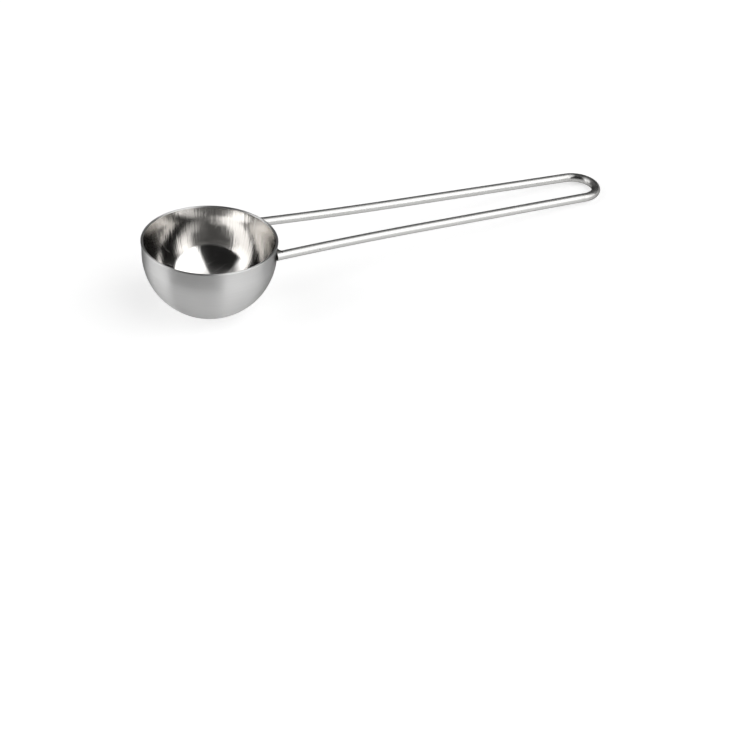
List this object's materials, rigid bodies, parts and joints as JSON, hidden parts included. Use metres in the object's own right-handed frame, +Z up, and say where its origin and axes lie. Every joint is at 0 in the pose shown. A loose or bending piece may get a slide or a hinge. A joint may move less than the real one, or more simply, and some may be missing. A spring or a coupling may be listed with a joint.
{
  "type": "measuring spoon",
  "caption": "Deep round steel measuring scoop with a long narrow handle loop of bent wire welded to the bowl's collar.",
  "frame": {"origin": "the point of the table under the bowl's round bottom, straight below the centre of its sphere, with the spoon lying at rest on its bowl and the tip of its loop", "axes": "+Z up, +X along the handle towards the loop's tip, +Y to the left of a hand that holds the handle from behind the bowl"},
  "size_m": [0.1707, 0.0466, 0.0313],
  "materials": {
    "bowl_steel": "drawn stainless sheet, polished inside and satin outside",
    "wire_steel": "bright polished stainless wire",
    "weld_steel": "dull fused steel, darker than the parts it joins"
  },
  "bodies": {
    "root": {"bowl": "bowl_steel", "handle_wire": "wire_steel", "weld_left": "weld_steel", "weld_right": "weld_steel"}
  },
  "joints": []
}
